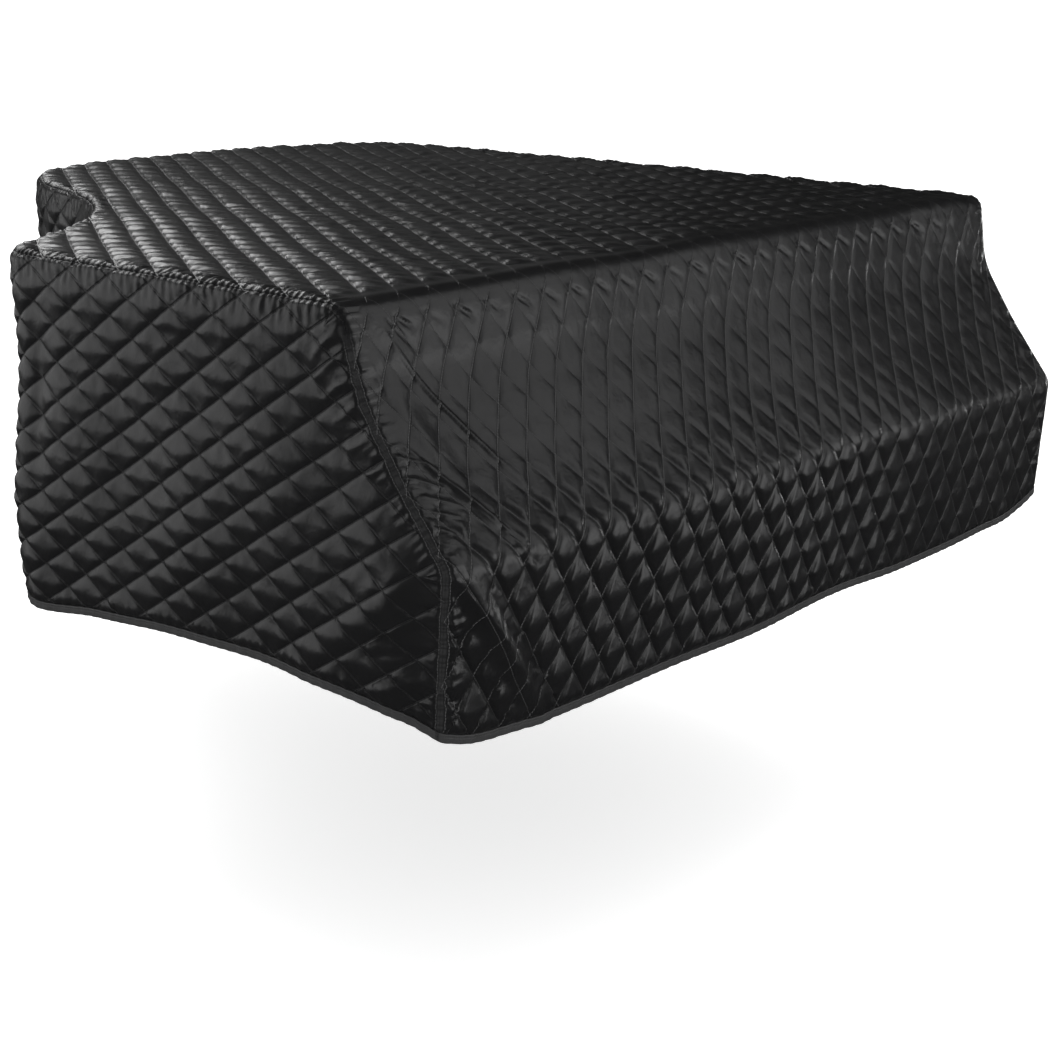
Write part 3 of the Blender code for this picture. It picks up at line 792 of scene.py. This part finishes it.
class Panel:
    """One cloth: flat outline with its seam and hem, quilting, and the way it stands in space."""

    def __init__(self, hand, hem, quilt, surface, relief, fine, hem_seed):
        self.hand, self.quilt, self.hem_seed = hand, quilt, hem_seed
        self.surface, self.relief, self.fine = surface, relief, fine
        self.line = seam.top if hand < 0 else seam.side
        loop = np.vstack([self.line, hem])
        order = np.arange(len(loop))[::hand]
        self.loop = loop[order]
        self.on_seam = np.flatnonzero(order < len(self.line))
        self.on_hem = np.flatnonzero(order >= len(self.line))
        self.seam_places = order[self.on_seam]
        self.hem = self.loop[self.on_hem]

    def within(self, spots):
        return spots[inside(spots, self.loop)]

    def clear_of(self, spots, from_seam, from_hem):
        return spots[(distance(spots, self.line) > from_seam) & (distance(spots, self.hem) > from_hem)]

    def inner_spots(self, grids, ridges):
        """Points inside the outline: rows along its edges and creases, and the quilting's grids."""
        inward = inward_of(self.loop)
        rows = offset_rows(self.loop[self.on_seam], inward[self.on_seam], SEAM_ROWS)
        rows += offset_rows(self.hem, inward[self.on_hem], HEM_ROWS)
        rows = self.within(np.vstack(rows))
        rows = rows[distance(rows, closed(self.loop)) > ROWS_INSET]
        folded = self.clear_of(self.within(ridge_spots(ridges)), RIDGES_FROM_SEAM, RIDGES_FROM_HEM)
        grid = np.vstack([grid_spots(self.loop, self.quilt, *row) for row in grids])
        grid = self.clear_of(grid, GRID_FROM_SEAM, GRID_FROM_HEM)
        grid = grid[distance(grid, folded) > GRID_FROM_RIDGES]
        return np.vstack([rows, thinned(folded, RIDGE_GAP), grid])

    def outer_face(self, flat, run, away):
        """Points and normals of the outer face, and the inner points of the cut edge at the seam."""
        edge = distance(flat, closed(self.loop), 0.05)
        point, normal = self.surface(*flat.T)
        lift = self.relief(*flat.T) * smooth(away / EDGE_FADE) + self.fine(flat, run, away, edge)
        at_hem = 1 - smooth(distance(flat, self.hem, 0.05) / HEM_REACH)
        wave = math.tau * flat[:, 0] / HEM_WAVE_PITCH + 3 * noise_along(flat[:, 0], 0.09, 0.0, self.hem_seed)
        lift += HEM_WAVE * np.sin(wave) * at_hem * smooth(away / 0.02)
        corner = at_corner(run)
        ruffle = ruffles(run, away, self.hand) * (1 - corner)
        welt = seam_band(run, away) * corner
        nearest = np.rint(run / (seam.length[1] - seam.length[0]))
        out = seam.out[np.clip(nearest, 0, len(self.line) - 1).astype(int)]
        turn = smooth(away / INSET)
        outer = point + normal * (lift + turn * ruffle)[:, None]
        outer += out * ((1 - turn) * ruffle + welt - sink_at_edge(away))[:, None]
        cut = edge_points(self.hand, self.seam_places, (welt + ruffle)[self.on_seam])
        outer[self.on_seam], inner_edge = cut
        return outer, normal, inner_edge

    def lining_spots(self):
        """A coarse square grid for the plain inner face."""
        box = zip(self.loop.min(0), self.loop.max(0))
        steps = [np.arange(low + LINING_STEP / 2, high, LINING_STEP) for low, high in box]
        spots = self.within(np.stack([g.ravel() for g in np.meshgrid(*steps)], -1))
        return spots[distance(spots, closed(self.loop), 0.05) > LINING_INSET]

    def lining_face(self, spots, away):
        point, normal = self.surface(*spots.T)
        lift = self.relief(*spots.T) * smooth(away / EDGE_FADE) - CLOTH
        return point + normal * lift[:, None]

    def faces(self, spots, lining):
        """Triangles of the outer face, the inner face and the rim, and how many the rim has."""
        count = len(self.loop)
        inner_from = count + len(spots)
        here = np.arange(count)
        after = (here + 1) % count
        first = np.stack([after, here, here + inner_from], -1)
        second = np.stack([after, here + inner_from, after + inner_from], -1)
        outer = np.array(triangles(self.loop, spots))
        inner = np.array(triangles(self.loop, lining))[:, ::-1] + inner_from
        return np.concatenate([outer, inner, first, second]), 2 * count

    def build(self, name, grids, ridges):
        """The cloth's mesh: fine outer face, plain inner face and the cut edge between them."""
        spots, lining = self.inner_spots(grids, ridges), self.lining_spots()
        flat = np.vstack([self.loop, spots])
        run, away = seam.near(flat, self.line)
        outer, normal, inner_edge = self.outer_face(flat, run, away)
        count = len(self.loop)
        rim = outer[:count] - normal[:count] * CLOTH
        rim[self.on_seam] = inner_edge
        _, lining_away = seam.near(lining, self.line)
        points = np.vstack([outer, rim, self.lining_face(lining, lining_away)])
        every = np.vstack([flat, self.loop, lining])
        runs = np.concatenate([run, run[:count], np.zeros(len(lining))])
        aways = np.concatenate([away, away[:count], lining_away])
        quilting = np.stack(quilt_place(every, self.quilt), -1)
        maps = {"quilt": quilting, "seam": np.stack([runs, aways], -1), "flat": every}
        self.hem_points, self.hem_normals = outer[self.on_hem], normal[self.on_hem]
        return piece_of(name, points, *self.faces(spots, lining), maps)


def hem_from(far, near, v_at):
    """A flat cloth's hem from the far corner to the near one, without the corners."""
    places = np.linspace(far, near, round((far - near) / HEM_STEP) + 1)[1:-1]
    return np.array([(u, v_at(u)) for u in places])


KNUCKLE_V = float(front_v(KNUCKLE_Z))
TOP_QUILT = ((FRONT_STITCH[0], float(front_v(FRONT_STITCH[1]))), HALF_SHORT, HALF_LONG)
WALL_QUILT = (SIDE_STITCH, WALL_LONG, HALF_SHORT)
TOP_GRIDS = (
    (TAIL_CELLS, LID_PULLS, TAIL_FROM, math.inf),
    (TOP_CELLS, LID_PULLS, LID_FROM, TAIL_FROM),
    (FRONT_CELLS, EVEN_PULLS, -math.inf, LID_FROM),
)
WALL_GRIDS = ((WALL_CELLS, EVEN_PULLS, -math.inf, math.inf),)

seam = Seam()
front_hem = hem_from(HALF, -HALF, lambda u: front_v(-through(FRONT_HEM, u)))
wall_hem = hem_from(seam.side[-1][0], seam.side[0][0], hem_of_side)
top = Panel(-1, front_hem, TOP_QUILT, top_surface, top_relief, top_fine, hem_seed=3)
top_cloth = top.build("top_front_cloth", TOP_GRIDS, FRONT_RIDGES + EDGE_NICKS)
wall = Panel(1, wall_hem, WALL_QUILT, side_surface, side_relief, wall_fine, hem_seed=4)
wall_cloth = wall.build("wall_cloth", WALL_GRIDS, WALL_RIDGES)


# -------- the binding tape on the hem

# The folded tape's section round the cut edge, from its outer top edge down, round and up again:
# distance outwards from the cloth's outer face, and height over the hem. Its lower part swings sideways
FOLD_FLOOR = -0.0008
TAPE_SECTION = (
    (0.0003, 0.0008), (0.0010, 0.0002), (0.0012, -0.0020), (0.0009, -0.0050), (0.0012, -0.0090),
    (0.0007, -0.0108), (-0.0006, -0.0116), (-0.0024, -0.0116), (-0.0037, -0.0108),
    (-0.0042, -0.0090), (-0.0039, -0.0050), (-0.0042, -0.0020), (-0.0040, 0.0002),
    (-0.0033, 0.0008), (-0.0032, FOLD_FLOOR), (0.0002, FOLD_FLOOR),
)
TAPE_SWING = 0.0005
SWING_BELOW = -0.003


def evened(values, rounds):
    """A closed row of values, each mixed with its neighbours a few times."""
    for _ in range(rounds):
        values = (np.roll(values, 1, axis=0) + 2 * values + np.roll(values, -1, axis=0)) / 4
    return values


def hem_route():
    """Points of the cover's whole cut edge, the level direction outwards and the run at each."""
    corners = [edge_points(0, np.array([k]), np.zeros(1))[0] for k in (0, -1)]
    edge = np.vstack([corners[0], top.hem_points, corners[1], wall.hem_points])
    out = np.vstack([seam.out[:1], top.hem_normals, seam.out[-1:], wall.hem_normals])
    run = along(closed(edge))[:-1]
    edge[:, 2] = evened(edge[:, 2], 3)
    return edge, unit(evened(out, 2) * (1, 1, 0)), run


def binding():
    """The tape as one closed band with the cloth's cut edge standing in its fold."""
    edge, out, run = hem_route()
    section = np.array(TAPE_SECTION)
    outwards, heights = section.T
    pinch = 1 + 0.35 * noise_along(run, 0.013, 0.0, 7)[:, None]
    swing = TAPE_SWING * noise_along(run, 0.022, 3.0, 8)[:, None]
    reach = np.where(heights == FOLD_FLOOR, outwards, outwards * pinch**0.3)
    reach = reach + swing * (heights < SWING_BELOW)
    points = edge[:, None, :] + out[:, None, :] * reach[..., None]
    points[..., 2] += heights * (1 + 0.02 * pinch)
    count, around = reach.shape
    here = np.arange(count * around).reshape(count, around)
    right, below = np.roll(here, -1, axis=0), np.roll(here, -1, axis=1)
    corner = np.roll(right, -1, axis=1)
    faces = np.stack([here, below, corner, right], -1).reshape(-1, 4)
    runs, girths = np.broadcast_arrays(run[:, None], along(closed(section))[:-1])
    maps = {"tape": np.stack([runs, girths], -1).reshape(-1, 2)}
    return piece_of("hem_tape", points.reshape(-1, 3), faces, 0, maps)


tape = binding()


# -------- materials


class Nodes:
    """Short ways to build a material's nodes."""

    def __init__(self, name):
        self.material = bpy.data.materials.new(name)
        self.material.use_nodes = True
        self.tree = self.material.node_tree
        self.shader = self.tree.nodes["Principled BSDF"]

    def fill(self, node, values):
        """Gives sockets their values, or links them to another node's output."""
        for title, value in values.items():
            if isinstance(value, bpy.types.NodeSocket):
                self.tree.links.new(value, node.inputs[title])
            else:
                node.inputs[title].default_value = value

    def node(self, kind, output, values, **settings):
        made = self.tree.nodes.new("ShaderNode" + kind)
        for title, value in settings.items():
            setattr(made, title, value)
        self.fill(made, values)
        return made.outputs[output]

    def math(self, operation, a, b=0.0):
        return self.node("Math", 0, {0: a, 1: b}, operation=operation)

    def add(self, *values):
        return functools.reduce(lambda total, value: self.math("ADD", total, value), values)

    def times(self, *values):
        return functools.reduce(lambda total, value: self.math("MULTIPLY", total, value), values)

    def without(self, value):
        return self.math("SUBTRACT", 1.0, value)

    def apart(self, value, place):
        return self.math("ABSOLUTE", self.math("SUBTRACT", value, place))

    def ramp(self, value, low, high, to_low=0.0, to_high=1.0):
        values = {"Value": value, "From Min": low, "From Max": high, "To Min": to_low, "To Max": to_high}
        return self.node("MapRange", "Result", values, interpolation_type="SMOOTHSTEP")

    def uv(self, name):
        """A flat map as one vector and as its two numbers."""
        vector = self.node("UVMap", "UV", {}, uv_map=name)
        return vector, *[self.node("SeparateXYZ", axis, {0: vector}) for axis in "XY"]

    def stretched(self, vector, y):
        """A vector with its second part scaled, so that a pattern on it is long that way."""
        return self.node("Mapping", "Vector", {"Vector": vector, "Scale": (1.0, y, 1.0)})

    def noise(self, vector, scale, detail, rough=0.5, distortion=0.0):
        values = {"Scale": scale, "Detail": detail, "Roughness": rough, "Distortion": distortion}
        return self.node("TexNoise", "Fac", {"Vector": vector, **values})

    def mix(self, kind, factor, first, second):
        values = {"Factor": factor, "A": first, "B": second}
        return self.node("Mix", "Result", values, data_type="RGBA", blend_type=kind)

    def bump(self, height):
        """Relief from a height in metres."""
        normal = self.node("Bump", "Normal", {"Height": height, "Distance": 1.0, "Strength": 1.0})
        self.fill(self.shader, {"Normal": normal})


# Stitches, places where grooves and thread fade, the painted sheen on the corner band, and the finishes of
# the satin and the tape
STITCH_PITCH = 0.0042
THREAD_EDGE = (0.0002, 0.0006)
SATIN_DARK = (0.0050, 0.0050, 0.0054, 1)
SATIN_LIGHT = (0.0075, 0.0075, 0.0079, 1)
SATIN_SHINE = 0.34
LID_TURN = (-0.03, 0.03)
BARE_EDGE = (0.016, 0.034)
CROSS_FADE = (KNUCKLE_V - 0.02, KNUCKLE_V + 0.05)
CORNER_FADE = 0.04
BAND_EDGE = (0.0025, 0.0060)
PAINTED_BAND_SHEEN = (0.005, 0.014)
SEAM_GROOVE = (0.0002, 0.0012)
SEAM_THREAD = 0.045
SEAM_SHADE = 0.22
TAPE_STITCH = 0.0042
TAPE_THREAD = (0.0002, 0.0007)
TAPE_GROOVE = (0.0004, 0.0018)
TAPE_RIB = 0.0011
TAPE_DARK = (0.022, 0.022, 0.0225, 1)
TAPE_LIGHT = (0.034, 0.034, 0.035, 1)


def quilting(n, quilt, cross):
    """Grooves of both families of stitch lines, the second family's alone, and the threads of each.

    Above the knuckle the first family's grooves keep the share of their depth that cross says.
    """
    _, half_u, half_v = quilt
    side = math.hypot(half_u, half_v)
    spacing = 2 * half_u * half_v / side
    _, s, t = n.uv("quilt")
    _, _, v = n.uv("flat")
    grooves, threads = [], []
    for across, length in ((s, t), (t, s)):
        gap = n.times(n.math("PINGPONG", across, 0.5), spacing)
        phase = n.math("FRACT", n.times(length, side / STITCH_PITCH))
        dash = n.times(n.ramp(phase, 0.05, 0.22), n.without(n.ramp(phase, 0.78, 0.95)))
        grooves.append(n.without(n.ramp(gap, 0.0003, 0.0028)))
        threads.append(n.times(n.without(n.ramp(gap, *THREAD_EDGE)), dash))
    first = n.times(grooves[0], n.ramp(v, *CROSS_FADE, 1.0, cross))
    return n.math("MAXIMUM", first, grooves[1]), grooves[1], threads


def stitch_row(n, run, gap, thread_edge, groove_edge):
    """Groove and thread of a row of stitches, from the run along it and the gap to it."""
    phase = n.math("FRACT", n.math("DIVIDE", run, STITCH_PITCH))
    thread = n.times(n.without(n.ramp(gap, *thread_edge)), n.ramp(phase, 0.1, 0.3))
    return n.without(n.ramp(gap, *groove_edge)), thread


def corner_share(n, run):
    """1 on the corner seams of the front, 0 on the seam round the lid."""
    near = n.ramp(run, seam.near_corner - CORNER_FADE, seam.near_corner, 1.0, 0.0)
    return n.math("MAXIMUM", near, n.ramp(run, seam.far_corner, seam.far_corner + CORNER_FADE))


def satin(name, quilt, thread, cross_thread, main_folds, groove_shade, cross, seam_shade_to, bare_bend):
    """Black satin with quilting stitches: grooves, thread, fine folds and a faint weave, with a painted
    highlight along the lid's stitch lines and painted sheen on the corner seams' band.

    Main folds are those where v is positive, which is on the lid and all over the wall.
    """
    n = Nodes(name)
    flat, _, v = n.uv("flat")
    by_seam, run, away = n.uv("seam")
    groove, main_groove, (thread_a, thread_b) = quilting(n, quilt, cross)
    bare = n.ramp(n.apart(v, LID_BEND), *BARE_EDGE) if bare_bend else 1.0
    corner = corner_share(n, run)
    row = stitch_row(n, run, n.apart(away, SEAM_STITCH), THREAD_EDGE, SEAM_GROOVE)
    seam_groove, seam_thread = [n.times(part, corner) for part in row]

    folds = n.noise(flat, 46.0, 3.0, 0.55, 0.6)
    fine = n.noise(flat, 150.0, 2.0, 0.5, 0.3)
    weave = n.noise(n.stretched(flat, 0.16), 3200.0, 0.0)
    tight = n.noise(n.stretched(by_seam, 0.16), 210.0, 2.0, 0.6, 0.4)
    patches = n.noise(flat, 9.0, 2.0)
    n.bump(
        n.add(
            n.times(groove, bare, n.ramp(v, *LID_TURN, -0.00035, -0.00060)),
            n.times(n.math("MAXIMUM", thread_a, thread_b), 0.00030),
            n.times(seam_groove, -0.00030),
            n.times(seam_thread, 0.00018),
            n.times(folds, n.ramp(v, *LID_TURN, 0.0007, main_folds)),
            n.times(fine, n.ramp(v, *LID_TURN, 0.00020, 0.2 * main_folds)),
            n.times(weave, 0.000012),
            n.times(tight, n.without(n.ramp(away, 0.002, 0.030)), 0.0006),
        )
    )
    # Painted sheen on the raised band over the corner seams, fading at the band's edges.
    band = n.times(corner, n.ramp(away, *BAND_EDGE, 1.0, 0.0), n.ramp(tight, 0.35, 0.65, *PAINTED_BAND_SHEEN))
    # Paler colour over the satin: the threads' own tone, a painted highlight along the lid's stitch lines,
    # and painted sheen on the corner band.
    thread_and_painted_sheen = n.add(
        band,
        n.times(seam_thread, SEAM_THREAD),
        n.times(thread_b, n.ramp(v, -0.01, 0.05, 0.2 * thread, thread), bare),
        n.times(thread_a, cross_thread),
    )
    # Painted shade: the specular level drops in the stitch grooves, and next to the seam by the seam-shade
    # ramp.
    shine = n.math("SUBTRACT", SATIN_SHINE, n.times(main_groove, groove_shade))
    n.fill(n.shader, {"Specular IOR Level": SATIN_SHINE, "Sheen Weight": 0.02, "Sheen Roughness": 0.4})
    linked = {
        "Base Color": n.mix("ADD", 1.0, n.mix("MIX", patches, SATIN_DARK, SATIN_LIGHT), thread_and_painted_sheen),
        "Roughness": n.add(n.times(folds, 0.10), n.times(patches, 0.06), 0.25),
        "Specular IOR Level": n.times(shine, n.ramp(away, 0.001, seam_shade_to, SEAM_SHADE, 1.0)),
    }
    n.fill(n.shader, linked)
    return n.material


def tape_finish():
    """Black folded tape with a fine cross rib and one row of stitches."""
    n = Nodes("binding_tape")
    place, run, girth = n.uv("tape")
    groove, thread = stitch_row(n, run, n.apart(girth, TAPE_STITCH), TAPE_THREAD, TAPE_GROOVE)
    swells = n.noise(n.stretched(place, 0.4), 95.0, 2.0, 0.5, 0.2)
    n.bump(
        n.add(
            n.times(n.math("SINE", n.times(run, math.tau / TAPE_RIB)), 0.00004),
            n.times(groove, -0.00035),
            n.times(thread, 0.00025),
            n.times(swells, 0.0012),
        )
    )
    colour = n.mix("MIX", swells, TAPE_DARK, TAPE_LIGHT)
    roughness = n.add(n.times(swells, 0.1), 0.46)
    n.fill(n.shader, {"Base Color": colour, "Roughness": roughness, "Specular IOR Level": 0.36})
    return n.material


# On the lid, thread=0.30 is mostly a painted highlight along the stitch lines; the wall's 0.01 is the
# thread's own dark tone.
top_satin = satin(
    "quilted_satin_top", TOP_QUILT, thread=0.30, cross_thread=0.03, main_folds=0.0003,
    groove_shade=0.0, cross=0.35, seam_shade_to=0.012, bare_bend=True,
)
wall_satin = satin(
    "quilted_satin_wall", WALL_QUILT, thread=0.01, cross_thread=0.01, main_folds=0.0006,
    groove_shade=0.24, cross=1.0, seam_shade_to=0.006, bare_bend=False,
)


# -------- how the pieces stand for the solids

for piece, node, finish, material in (
    (top_cloth, "top_front_panel", "quilted_satin", top_satin),
    (wall_cloth, "side_panel", "quilted_satin", wall_satin),
    (tape, "hem_binding", "binding_tape", tape_finish()),
):
    piece.data.materials.append(material)
    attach(piece, "root")
    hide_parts(node)


# -------- room, light and camera

FLOOR_LEVEL = -1.02
FLOOR_REACH = 60.0
FLOOR_COLOUR = (0.93, 0.93, 0.93, 1)
WHITE = (1, 1, 1, 1)
# Soft boxes: name, place, aim, width, height and power in watts
SOFT_BOXES = (
    ("back_high", (-0.1, 3.4, 2.9), (-0.4, 0.1, 0.0), 3.2, 2.0, 140),
    ("back_right", (3.0, 3.6, 1.5), (0.2, 0.1, 0.0), 3.0, 1.2, 1.2),
    ("tail_left", (-1.1, 4.9, -0.1), (-0.3, 0.5, -0.2), 1.6, 1.6, 8),
    ("back_left", (-2.75, 2.35, 0.20), (-0.7, 0.0, -0.2), 2.8, 2.8, 30),
    ("camera_side", (-3.4, -2.9, 0.1), (-0.75, -0.6, -0.25), 3.0, 2.0, 12),
    ("front_high", (2.0, -3.0, 2.0), (-0.1, -0.8, -0.15), 2.5, 2.6, 25),
    ("front_low", (2.0, -4.35, -0.05), (-0.2, -0.9, -0.35), 3.3, 1.8, 48),
    ("right_low", (7.5, -0.75, -0.55), (-0.6, -0.85, -0.4), 2.6, 0.9, 44),
)
SUN_POWER = 0.5
SUN_SPREAD = math.radians(60)
CAMERA_PLACE = (-2.378, -2.447, 0.403)
CAMERA_YAW = 0.847
CAMERA_PITCH = 0.276
CAMERA_LENS = 69.39


def floor():
    """A plain white floor that neither shows in the cloth's sheen nor shades it."""
    mesh = bpy.data.meshes.new("studio_floor")
    turns = ((-1, -1), (1, -1), (1, 1), (-1, 1))
    corners = [(FLOOR_REACH * x, FLOOR_REACH * y, FLOOR_LEVEL) for x, y in turns]
    mesh.from_pydata(corners, [], [(0, 1, 2, 3)])
    made = put_in_scene("studio_floor", mesh)
    n = Nodes("studio_floor")
    n.fill(n.shader, {"Base Color": FLOOR_COLOUR, "Emission Color": WHITE, "Emission Strength": 0.55})
    n.fill(n.shader, {"Roughness": 0.9, "Specular IOR Level": 0.1})
    mesh.materials.append(n.material)
    made.visible_glossy = False
    made.visible_shadow = False


def soft_box(name, place, aim, width, height, power):
    """A light that only the cloth's sheen shows, so that the floor stays plain."""
    data = bpy.data.lights.new(name, "AREA")
    data.shape = "RECTANGLE"
    data.size, data.size_y, data.energy = width, height, power
    made = put_in_scene(name, data)
    made.location = place
    made.visible_diffuse = False
    made.rotation_euler = (Vector(aim) - Vector(place)).to_track_quat("-Z", "Y").to_euler()


def sun():
    data = bpy.data.lights.new("overhead", "SUN")
    data.energy, data.angle = SUN_POWER, SUN_SPREAD
    put_in_scene("overhead", data)


def sky():
    """An even white surround that the cloth's sheen doesn't show."""
    world = bpy.data.worlds.new("studio")
    bpy.context.scene.world = world
    world.use_nodes = True
    background = world.node_tree.nodes["Background"].inputs
    background["Color"].default_value = WHITE
    background["Strength"].default_value = 1.0
    world.cycles_visibility.glossy = False


def camera():
    """The photograph's camera, turned by its yaw from straight ahead and tipped down by its pitch."""
    lens = bpy.data.cameras.new("camera")
    lens.lens = CAMERA_LENS
    lens.sensor_width = 36.0
    lens.clip_end = 200.0
    made = put_in_scene("camera", lens)
    made.location = CAMERA_PLACE
    made.rotation_euler = (math.pi / 2 - CAMERA_PITCH, 0, -CAMERA_YAW)
    bpy.context.scene.camera = made


floor()
for row in SOFT_BOXES:
    soft_box(*row)
sun()
sky()
camera()
bpy.context.scene.view_settings.view_transform = "Standard"
